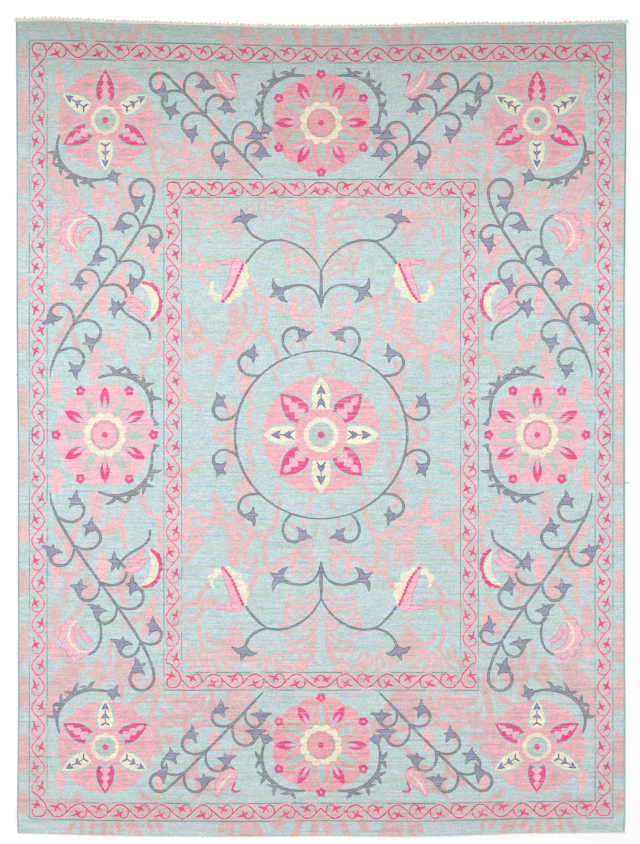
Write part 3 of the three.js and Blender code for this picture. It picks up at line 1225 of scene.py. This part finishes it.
def bake_map(mesh, top_count, loop_count):
    """Map the pattern over nearly the whole square, with the rim and the underside in strips."""
    layer = mesh.uv_layers.new(name="OFBake")
    low, high = Vector(PILE_LOW), Vector(PILE_HIGH)
    span = high - low
    shares = {"top": (0.002, 0.968), "under": (0.986, 0.998)}
    for index, face in enumerate(mesh.polygons):
        is_rim = top_count <= index < len(mesh.polygons) - 1
        for loop_index in face.loop_indices:
            place = mesh.vertices[mesh.loops[loop_index].vertex_index].co
            across, along = (place.x - low.x) / span.x, (place.y - low.y) / span.y
            if not is_rim:
                start, end = shares["top" if index < top_count else "under"]
                layer.data[loop_index].uv = (start + across * (end - start), 0.002 + along * 0.996)
        if is_rim:
            step, ring = (index - top_count) % loop_count, (index - top_count) // loop_count
            near, far = step / loop_count, (step + 1) / loop_count
            corners = ((ring, near), (ring + 1, near), (ring + 1, far), (ring, far))
            for loop_index, (u, v) in zip(face.loop_indices, corners):
                layer.data[loop_index].uv = (0.971 + u * 0.003, 0.002 + v * 0.996)


# The bound sides and the frayed ends.


def only(piece):
    """Select one piece and nothing else, and make it active."""
    bpy.ops.object.select_all(action="DESELECT")
    piece.select_set(True)
    bpy.context.view_layer.objects.active = piece


def joined(name, pieces):
    """Join pieces into one of this name."""
    only(pieces[0])
    for piece in pieces[1:]:
        piece.select_set(True)
    bpy.ops.object.join()
    pieces[0].name = pieces[0].data.name = name
    return pieces[0]


def path(name, places, radius=0.0):
    """A path through the places, in metres, or a round cord along it."""
    curve = bpy.data.curves.new(name, "CURVE")
    curve.dimensions = "3D"
    curve.twist_mode = "Z_UP"
    curve.bevel_depth = radius
    curve.bevel_resolution = 1
    curve.use_fill_caps = True
    spline = curve.splines.new("POLY")
    spline.points.add(len(places) - 1)
    for point, place in zip(spline.points, places):
        point.co = (*place, 1.0)
    made = bpy.data.objects.new(name, curve)
    bpy.context.scene.collection.objects.link(made)
    if radius:
        only(made)
        bpy.ops.object.convert(target="MESH")
    return made


def map_from_above(piece):
    """Map a piece's colours as they are seen from above, stretched over the whole square."""
    mesh = piece.data
    layer = mesh.uv_layers.get("OFBake") or mesh.uv_layers.new(name="OFBake")
    across = [v.co.x for v in mesh.vertices]
    along = [v.co.y for v in mesh.vertices]
    left, low = min(across), min(along)
    wide, tall = max(across) - left, max(along) - low
    for loop in mesh.loops:
        place = mesh.vertices[loop.vertex_index].co
        layer.data[loop.index].uv = ((place.x - left) / wide, (place.y - low) / tall)


def finished(piece, node, material):
    """Give a piece its wool or cotton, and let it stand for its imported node."""
    piece.data.materials.clear()
    piece.data.materials.append(material)
    map_from_above(piece)
    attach(piece, "root")
    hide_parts(node)


def bound_side(sizes, edge, sign):
    """A cord along one long side, with turns of yarn close together round it."""
    half_width, half_height = SELVEDGE[0] / 2 * MM, SELVEDGE[1] / 2 * MM
    ends = [edge.end_at(sign * HALF_WIDTH, end) for end in (-1, 1)]
    places = []
    for index in range(SIDE_STEPS + 1):
        y = ends[0] + (ends[1] - ends[0]) * index / SIDE_STEPS
        x = edge.side_at(y, sign) + sign * (PIECE_GAP + SELVEDGE[0] / 2)
        places.append((x * MM, y * MM, half_height))
    line = path("side_line", places)
    span = sum((Vector(b) - Vector(a)).length for a, b in zip(places, places[1:]))

    bpy.ops.object.select_all(action="DESELECT")
    bpy.ops.mesh.primitive_torus_add(
        major_segments=8, minor_segments=4, major_radius=TURN_RING, minor_radius=TURN_YARN,
        location=(0, sizes.wrap / 2, 0), rotation=(math.pi / 2, 0, sign * TURN_LEAN),
    )
    turns = bpy.context.object
    turns.scale = (half_width, half_height, sizes.wrap * TURN_LAP / TURN_YARN)
    bpy.ops.object.transform_apply(location=True, rotation=True, scale=True)
    array = turns.modifiers.new("turns", "ARRAY")
    array.use_relative_offset = False
    array.use_constant_offset = True
    array.constant_offset_displace = (0, sizes.wrap, 0)
    array.count = int(span / sizes.wrap)
    along = turns.modifiers.new("along", "CURVE")
    along.object = line
    along.deform_axis = "POS_Y"
    for modifier in ("turns", "along"):
        bpy.ops.object.modifier_apply(modifier=modifier)
    core = path("core", places, half_width * CORE_SHARE)
    bpy.data.objects.remove(line)
    return [turns, core]


class RUG_OT_selvedges(bpy.types.Operator):
    """Overcast both long sides with yarn"""

    bl_idname = "rug.selvedges"
    bl_label = "Selvedges"

    def execute(self, context):
        sizes, edge = context.scene.rug_sizes, PileEdge()
        material = overcast_wool()
        for sign, name in ((-1, "left"), (1, "right")):
            pieces = bound_side(sizes, edge, sign)
            along, steps = LOOSE_ENDS[sign]
            root = Vector((edge.side_at(along, sign), along, LOOSE_HEIGHT))
            places = [(*((root + Vector(step)) * MM),) for step in steps]
            pieces.append(path("loose_end", places, sizes.thread / 3))
            side = joined(f"rug_selvedge_{name}", pieces)
            finished(side, f"selvedge_{name}", material)
        return {"FINISHED"}


def rod(sides, tip, cuts):
    """A rod from 0 to 1 along Y, from a root of radius 1 to its tip's, cut across at places."""
    bpy.ops.object.select_all(action="DESELECT")
    bpy.ops.mesh.primitive_cone_add(
        vertices=sides, radius1=1.0, radius2=tip, depth=1.0,
        location=(0, 0.5, 0), rotation=(-math.pi / 2, 0, 0),
    )
    bpy.ops.object.transform_apply(location=True, rotation=True)
    bpy.ops.object.mode_set(mode="EDIT")
    for along in cuts:
        bpy.ops.mesh.select_all(action="SELECT")
        bpy.ops.mesh.bisect(plane_co=(0, along, 0), plane_no=(0, 1, 0))
    bpy.ops.object.mode_set(mode="OBJECT")
    return bpy.context.object


def strewn(name, unit, places):
    """Copies of a unit in one mesh. Each place is the unit's root and reach, half its width, its
    height and how far it bows sideways, in millimetres."""
    spots, faces, tips = [], [], []
    for root, reach, half, height, bow in places:
        first = len(spots)
        side = Vector((reach.y, -reach.x)).normalized()
        for vertex in unit.data.vertices:
            u, v, w = vertex.co
            flat = root + reach * v + side * (u * half + bow * v * v)
            spots.append((flat.x * MM, flat.y * MM, (w + 1) / 2 * height * MM))
            tips.append(v)
        faces += [[first + index for index in face.vertices] for face in unit.data.polygons]
    mesh = bpy.data.meshes.new(name)
    mesh.from_pydata(spots, [], faces)
    mesh.attributes.new("tip", "FLOAT", "POINT").data.foreach_set("value", tips)
    piece = bpy.data.objects.new(name, mesh)
    bpy.context.scene.collection.objects.link(piece)
    bpy.data.objects.remove(unit)
    return piece


def warp_tips(node, edge, sign, strip):
    """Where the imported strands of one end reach, from left to right."""
    vertices = bpy.data.objects[node].data.vertices
    found = {(round(v.co.x / MM, 1), round(v.co.y / MM, 1)) for v in vertices}
    far = sorted(p for p in found if sign * (p[1] - edge.end_at(p[0], sign)) > strip + TIP_CLEAR)
    return [Vector(a).lerp(Vector(b), 0.5) for a, b in zip(far[::2], far[1::2])]


def end_strip(edge, sign, strip, left, right, dice):
    """The ribs of one woven strip and the two weft cords that hold them."""
    ribs = []
    x = left + RIB_PITCH / 2
    while x < right:
        root = Vector((x, edge.end_at(x, sign) + sign * PIECE_GAP))
        reach = Vector((0, sign * strip * dice.uniform(0.94, 1.12)))
        ribs.append((root, reach, RIB_PITCH * RIB_HALF, dice.uniform(2.0, 2.4), 0.0))
        x += RIB_PITCH
    cords = []
    for share in WEFT_PLACES:
        line = []
        for index in range(SIDE_STEPS + 1):
            x = left + (right - left) * index / SIDE_STEPS
            y = edge.end_at(x, sign) + sign * (strip * share + PIECE_GAP)
            line.append((x * MM, y * MM, WEFT_HEIGHT * MM))
        cords.append(path("weft", line, WEFT_RADIUS * MM))
    return [strewn("ribs", rod(6, 1.0, (0.5,)), ribs), *cords]


class RUG_OT_fringes(bpy.types.Operator):
    """Weave the strip at each end and fray its warps"""

    bl_idname = "rug.fringes"
    bl_label = "Fringes"

    def execute(self, context):
        sizes, edge = context.scene.rug_sizes, PileEdge()
        material = warp_cotton()
        dice = random.Random(FRINGE_SEED)
        for sign, name, strip in ((1, "top", TOP_STRIP), (-1, "bottom", BOTTOM_STRIP)):
            low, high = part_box(f"fringe_{name}")
            left, right = low[0] / MM, high[0] / MM
            tips = warp_tips(f"fringe_{name}", edge, sign, strip)
            pitch = (right - left) / len(tips)
            pieces = end_strip(edge, sign, strip, left, right, dice)
            half = sizes.thread / MM / 2
            threads = []
            for tip in tips:
                start = edge.end_at(tip.x, sign) + sign * (strip - THREAD_LAP)
                for index in range(THREADS_A_STRAND):
                    across = (index + 0.5) / THREADS_A_STRAND - 0.5 + dice.uniform(-0.1, 0.1)
                    root = Vector((tip.x + across * pitch, start))
                    reach = (tip - root) * dice.uniform(0.55, 1.15)
                    reach.x *= 0.7
                    threads.append((root, reach, half, dice.uniform(1.4, 2.4), dice.gauss(0, 1.6)))
            pieces.append(strewn("threads", rod(4, 0.4, (0.33, 0.67)), threads))
            fringe = joined(f"rug_fringe_{name}", pieces)
            finished(fringe, f"fringe_{name}", material)
        return {"FINISHED"}


# Materials.


def add(tree, kind, inputs=None, **settings):
    """Add a node with its settings, and give its inputs values or links."""
    node = tree.nodes.new(kind)
    for name, value in settings.items():
        setattr(node, name, value)
    for socket, value in (inputs or {}).items():
        if isinstance(value, bpy.types.NodeSocket):
            tree.links.new(value, node.inputs[socket])
        else:
            node.inputs[socket].default_value = value
    return node


def new_material(name):
    """A material with a shader joined to its output."""
    material = bpy.data.materials.new(name)
    material.use_nodes = True
    tree = material.node_tree
    tree.nodes.clear()
    shader = add(tree, "ShaderNodeBsdfPrincipled")
    add(tree, "ShaderNodeOutputMaterial", {"Surface": shader.outputs[0]})
    return material, tree, shader


def streaks(tree, place, across, along, detail=2.0, offset=0.0):
    """Noise drawn out across the rug: the lengths of a streak across and along it, in metres."""
    mapping = add(tree, "ShaderNodeMapping", {
        "Vector": place, "Scale": (1 / across, 1 / along, 1.0), "Location": (offset, offset, offset),
    })
    spots = add(tree, "ShaderNodeTexNoise", {
        "Vector": mapping.outputs[0], "Scale": 1.0, "Detail": detail, "Roughness": 0.55,
    })
    return spots.outputs["Fac"]


def mixed(tree, amount, first, second, kind="MIX"):
    """Two colours mixed."""
    inputs = {0: amount, 6: first, 7: second}
    return add(tree, "ShaderNodeMix", inputs, data_type="RGBA", blend_type=kind).outputs[2]


def reckon(tree, operation, *values):
    """A sum on numbers."""
    return add(tree, "ShaderNodeMath", dict(enumerate(values)), operation=operation).outputs[0]


def ranged(tree, value, low, high, to_low, to_high):
    """A number moved from one range to another, and kept inside it."""
    return add(tree, "ShaderNodeMapRange", {
        "Value": value, "From Min": low, "From Max": high, "To Min": to_low, "To Max": to_high,
    }).outputs[0]


def soft_surface(shader, roughness, specular):
    """Set how rough and how glossy a surface is."""
    shader.inputs["Roughness"].default_value = roughness
    shader.inputs["Specular IOR Level"].default_value = specular


def wool_pile():
    """Hand-spun, vegetable-dyed wool, knotted and cut low: matt, mottled knot by knot, and streaked
    across the rug where the weaver changed from one dye lot to the next."""
    material, tree, shader = new_material("hand_knotted_wool")
    place = add(tree, "ShaderNodeTexCoord").outputs["Object"]
    wool = add(tree, "ShaderNodeAttribute", attribute_name="wool").outputs["Color"]
    ground = add(tree, "ShaderNodeAttribute", attribute_name="ground").outputs["Fac"]
    under = add(tree, "ShaderNodeAttribute", attribute_name="under_pattern").outputs["Fac"]

    # Knots are 4.4 mm across the rug and 4.4 mm along it, a little coarser than the real ones, so
    # that they show at the picture's 4.5 mm a pixel.
    cells = add(tree, "ShaderNodeVectorMath", {0: place, 1: (KNOT * MM,) * 3}, operation="SNAP")
    knots = add(tree, "ShaderNodeTexWhiteNoise", {"Vector": cells.outputs[0]}, noise_dimensions="3D")
    knot = knots.outputs["Value"]
    fine = streaks(tree, place, 0.06, 0.0058, 2.0)
    middle = streaks(tree, place, 0.26, 0.012, 3.0, 3.1)
    broad = streaks(tree, place, 0.9, 0.06, 2.0, 7.7)
    odd = streaks(tree, place, 0.22, 0.008, 2.0, 23.0)
    rare = streaks(tree, place, 0.30, 0.007, 2.0, 41.0)

    # Worn knots let the ground's colour through the figures, in short streaks.
    figure = reckon(tree, "SUBTRACT", 1.0, ground)
    worn = reckon(tree, "MULTIPLY", ranged(tree, rare, 0.52, 0.68, 0.0, 0.42), figure)
    colour = mixed(tree, worn, wool, paint(GROUND_DYE))

    # Dye lots of the ground: blue in some streaks, green in others, pink and dusky in a few. Each
    # has its noise, the range over which it sets in, how strong it gets, and its colour.
    for spots, low, high, most, hex_colour in (
        (middle, 0.51, 0.64, 0.9, "#B8D2DB"), (broad, 0.46, 0.32, 0.7, "#BBD7CA"),
        (odd, 0.42, 0.30, 0.6, "#B4DACF"), (odd, 0.55, 0.66, 0.75, "#E4CFD4"),
        (rare, 0.42, 0.28, 0.7, "#A3BBBA"),
    ):
        amount = reckon(tree, "MULTIPLY", ranged(tree, spots, low, high, 0.0, most), ground)
        colour = mixed(tree, amount, colour, paint(hex_colour))

    # The under-pattern: its strokes have ragged ends along the rows, and are thicker towards
    # the lower end.
    along = add(tree, "ShaderNodeSeparateXYZ", {0: place}).outputs["Y"]
    lower = ranged(tree, along, -0.3, -1.3, 0.0, 0.13)
    ragged = reckon(tree, "MULTIPLY_ADD", reckon(tree, "SUBTRACT", fine, 0.5), 1.7, under)
    ragged = reckon(tree, "MULTIPLY_ADD", reckon(tree, "SUBTRACT", knot, 0.5), 0.3, ragged)
    ragged = reckon(tree, "ADD", ragged, lower)
    shown = ranged(tree, ragged, 0.40, 0.58, 0.0, 0.92)
    shown = reckon(tree, "MULTIPLY", shown, ground)
    lots = streaks(tree, place, 0.4, 0.3, 1.0, 11.0)
    lot = ranged(tree, lots, 0.42, 0.58, 0.0, 1.0)
    ghost = mixed(tree, lot, paint("#DEBDC0"), paint("#EDC0C5"))
    ghost = mixed(tree, ranged(tree, along, -0.5, -1.5, 0.0, 0.5), ghost, paint("#DCB0B3"))
    colour = mixed(tree, shown, colour, ghost)

    # Dusky rows run over ground and figures alike, mostly in the lower half.
    rows = ranged(tree, streaks(tree, place, 0.55, 0.011, 2.0, 59.0), 0.50, 0.64, 0.0, 1.0)
    rows = reckon(tree, "MULTIPLY", rows, ranged(tree, along, 0.4, -1.2, 0.14, 0.55))
    colour = mixed(tree, rows, colour, (0.84, 0.78, 0.79, 1.0), "MULTIPLY")

    # Painted shade: the colour is darkened along the rug, a little at the lower end and most towards the
    # top end.
    painted_shade = add(tree, "ShaderNodeValToRGB", {
        "Fac": ranged(tree, along, PILE_LOW[1], PILE_HIGH[1], 0.0, 1.0),
    })
    stops = ((0.0, "#F8F8F8"), (0.2, "#FFFFFF"), (0.7, "#FFFFFF"), (0.92, "#E9E8E6"), (1.0, "#D3D0CD"))
    ramp = painted_shade.color_ramp
    while len(ramp.elements) < len(stops):
        ramp.elements.new(0.5)
    for element, (position, hex_colour) in zip(ramp.elements, stops):
        element.position = position
        element.color = paint(hex_colour)
    colour = mixed(tree, 1.0, colour, painted_shade.outputs["Color"], "MULTIPLY")

    # Lights and darks: each knot on its own, with a tint of its own, then short and long streaks,
    # and the long ones once more in the figures.
    tone = ranged(tree, knot, 0.0, 1.0, 0.88, 1.12)
    tone = reckon(tree, "MULTIPLY", tone, ranged(tree, fine, 0.25, 0.75, 0.87, 1.12))
    tone = reckon(tree, "MULTIPLY", tone, ranged(tree, middle, 0.25, 0.75, 0.95, 1.05))
    uneven = ranged(tree, middle, 0.25, 0.75, -0.06, 0.06)
    tone = reckon(tree, "MULTIPLY", tone, reckon(tree, "MULTIPLY_ADD", uneven, figure, 1.0))
    tint = add(tree, "ShaderNodeVectorMath", {
        0: knots.outputs["Color"], 1: (0.08,) * 3, 2: (0.96,) * 3,
    }, operation="MULTIPLY_ADD")
    tinted = add(tree, "ShaderNodeVectorMath", {0: colour, 1: tint.outputs[0]}, operation="MULTIPLY")
    toned = add(tree, "ShaderNodeVectorMath", {0: tinted.outputs[0], "Scale": tone}, operation="SCALE")
    tree.links.new(toned.outputs[0], shader.inputs["Base Color"])

    soft_surface(shader, 0.92, 0.2)
    shader.inputs["Sheen Weight"].default_value = 0.12
    shader.inputs["Sheen Roughness"].default_value = 0.5
    tufts = add(tree, "ShaderNodeTexNoise", {"Vector": place, "Scale": 1 / (KNOT * MM), "Detail": 2.0})
    raised = reckon(tree, "MULTIPLY_ADD", knot, 0.35, tufts.outputs["Fac"])
    bump = add(tree, "ShaderNodeBump", {"Height": raised, "Strength": 0.35, "Distance": 0.0012})
    tree.links.new(bump.outputs[0], shader.inputs["Normal"])
    return material


def overcast_wool():
    """Dyed wool yarn wound close round the edge warps: matt, and a little darker than the ground."""
    material, tree, shader = new_material("overcast_wool_yarn")
    place = add(tree, "ShaderNodeTexCoord").outputs["Object"]
    one_turn = (1.0, WRAP * MM, 1.0)
    turns = add(tree, "ShaderNodeVectorMath", {0: place, 1: one_turn}, operation="SNAP")
    turn = add(tree, "ShaderNodeTexWhiteNoise", {"Vector": turns.outputs[0]}).outputs["Value"]
    lots = add(tree, "ShaderNodeTexNoise", {"Vector": place, "Scale": 3.0, "Detail": 2.0})
    lot = ranged(tree, lots.outputs["Fac"], 0.35, 0.65, 0.0, 1.0)
    colour = mixed(tree, lot, paint("#86A6A8"), paint("#A3BDBC"))
    along = add(tree, "ShaderNodeSeparateXYZ", {0: place}).outputs["Y"]
    colour = mixed(tree, ranged(tree, along, -0.6, -1.8, 0.0, 0.7), colour, paint("#C3D2D3"))
    tone = ranged(tree, turn, 0.0, 1.0, 0.86, 1.10)
    toned = add(tree, "ShaderNodeVectorMath", {0: colour, "Scale": tone}, operation="SCALE")
    tree.links.new(toned.outputs[0], shader.inputs["Base Color"])
    soft_surface(shader, 0.9, 0.2)
    return material


def warp_cotton():
    """Undyed cotton warps, plied and frayed: matt cream, greyer at the tips, and nearly white at the
    end that is clipped short."""
    material, tree, shader = new_material("undyed_warp_cotton")
    place = add(tree, "ShaderNodeTexCoord").outputs["Object"]
    tip = add(tree, "ShaderNodeAttribute", attribute_name="tip").outputs["Fac"]
    along = add(tree, "ShaderNodeSeparateXYZ", {0: place}).outputs["Y"]
    one_rib = (RIB_PITCH * MM, 1.0, 1.0)
    strands = add(tree, "ShaderNodeVectorMath", {0: place, 1: one_rib}, operation="SNAP")
    strand = add(tree, "ShaderNodeTexWhiteNoise", {"Vector": strands.outputs[0]}).outputs["Value"]
    dusty = ranged(tree, strand, 0.0, 0.8, 0.3, 1.0)
    dusty = reckon(tree, "MULTIPLY", ranged(tree, tip, 0.3, 0.9, 0.0, 1.0), dusty)
    colour = mixed(tree, dusty, paint("#E8E2D8"), paint("#B7ADA6"))
    clipped = ranged(tree, along, 0.0, -0.5, 0.0, 0.8)
    colour = mixed(tree, clipped, colour, paint("#F4F2EC"))
    tree.links.new(colour, shader.inputs["Base Color"])
    soft_surface(shader, 0.85, 0.25)
    return material


class RUG_OT_stage(bpy.types.Operator):
    """Add the floor, the soft light and the camera straight above"""

    bl_idname = "rug.stage"
    bl_label = "Stage"

    def execute(self, context):
        stage = context.scene.rug_stage
        bpy.ops.mesh.primitive_plane_add(size=stage.floor, location=(0, 0, -0.0006))
        floor = context.object
        floor.name = "floor"
        bpy.ops.object.transform_apply(location=True)
        material, tree, shader = new_material("matt_white_paint")
        place = add(tree, "ShaderNodeTexCoord").outputs["Object"]
        cloudy = add(tree, "ShaderNodeTexNoise", {"Vector": place, "Scale": 0.7, "Detail": 1.0})
        colour = mixed(tree, cloudy.outputs["Fac"], paint("#FDFDFC"), paint("#FFFFFF"))
        tree.links.new(colour, shader.inputs["Base Color"])
        shader.inputs["Roughness"].default_value = 0.9
        floor.data.materials.append(material)

        world = bpy.data.worlds.new("soft_white")
        world.use_nodes = True
        sky = world.node_tree.nodes["Background"]
        sky.inputs["Color"].default_value = (1.0, 1.0, 1.0, 1.0)
        sky.inputs["Strength"].default_value = stage.sky
        context.scene.world = world
        bpy.ops.object.light_add(type="AREA", location=(-2.2, 1.8, 6.5))
        lamp = context.object
        lamp.name = "soft_box"
        lamp.data.shape = "SQUARE"
        lamp.data.size = 5.0
        lamp.data.energy = stage.lamp
        lamp.rotation_euler = Vector(lamp.location).to_track_quat("Z", "Y").to_euler()

        photo_middle = NOMINAL_MIDDLE * MM + Vector((-0.005, 0.036))
        sensor = 36.0
        distance = stage.view_height * stage.lens / sensor
        bpy.ops.object.camera_add(location=(photo_middle.x, photo_middle.y, distance + PILE_TOP))
        camera = context.object
        camera.name = "camera_above"
        camera.data.lens = stage.lens
        camera.data.sensor_width = sensor
        camera.data.clip_end = 200.0
        context.scene.camera = camera
        context.scene.view_settings.view_transform = "Standard"
        return {"FINISHED"}


class RUG_PT_panel(bpy.types.Panel):
    """The rug's pieces and settings"""

    bl_label = "Rug"
    bl_idname = "RUG_PT_panel"
    bl_space_type = "VIEW_3D"
    bl_region_type = "UI"
    bl_category = "Rug"

    def draw(self, context):
        for operator in OPERATORS:
            self.layout.operator(operator.bl_idname)
        for group in (context.scene.rug_sizes, context.scene.rug_wools, context.scene.rug_stage):
            for name in group.__annotations__:
                self.layout.prop(group, name)


OPERATORS = (RUG_OT_stage, RUG_OT_pile, RUG_OT_selvedges, RUG_OT_fringes)
CLASSES = (WoolColours, RugSizes, StageSizes, *OPERATORS, RUG_PT_panel)


def register():
    """Register the classes and the scene's settings."""
    for kind in CLASSES:
        bpy.utils.register_class(kind)
    bpy.types.Scene.rug_wools = bpy.props.PointerProperty(type=WoolColours)
    bpy.types.Scene.rug_sizes = bpy.props.PointerProperty(type=RugSizes)
    bpy.types.Scene.rug_stage = bpy.props.PointerProperty(type=StageSizes)


def unregister():
    """Remove what register added."""
    del bpy.types.Scene.rug_wools, bpy.types.Scene.rug_sizes, bpy.types.Scene.rug_stage
    for kind in reversed(CLASSES):
        bpy.utils.unregister_class(kind)


def main():
    """Make the rug on its stage."""
    register()
    bpy.ops.object.select_all(action="DESELECT")
    bpy.ops.rug.stage()
    bpy.ops.rug.pile()
    bpy.ops.rug.selvedges()
    bpy.ops.rug.fringes()


if __name__ == "__main__":
    main()
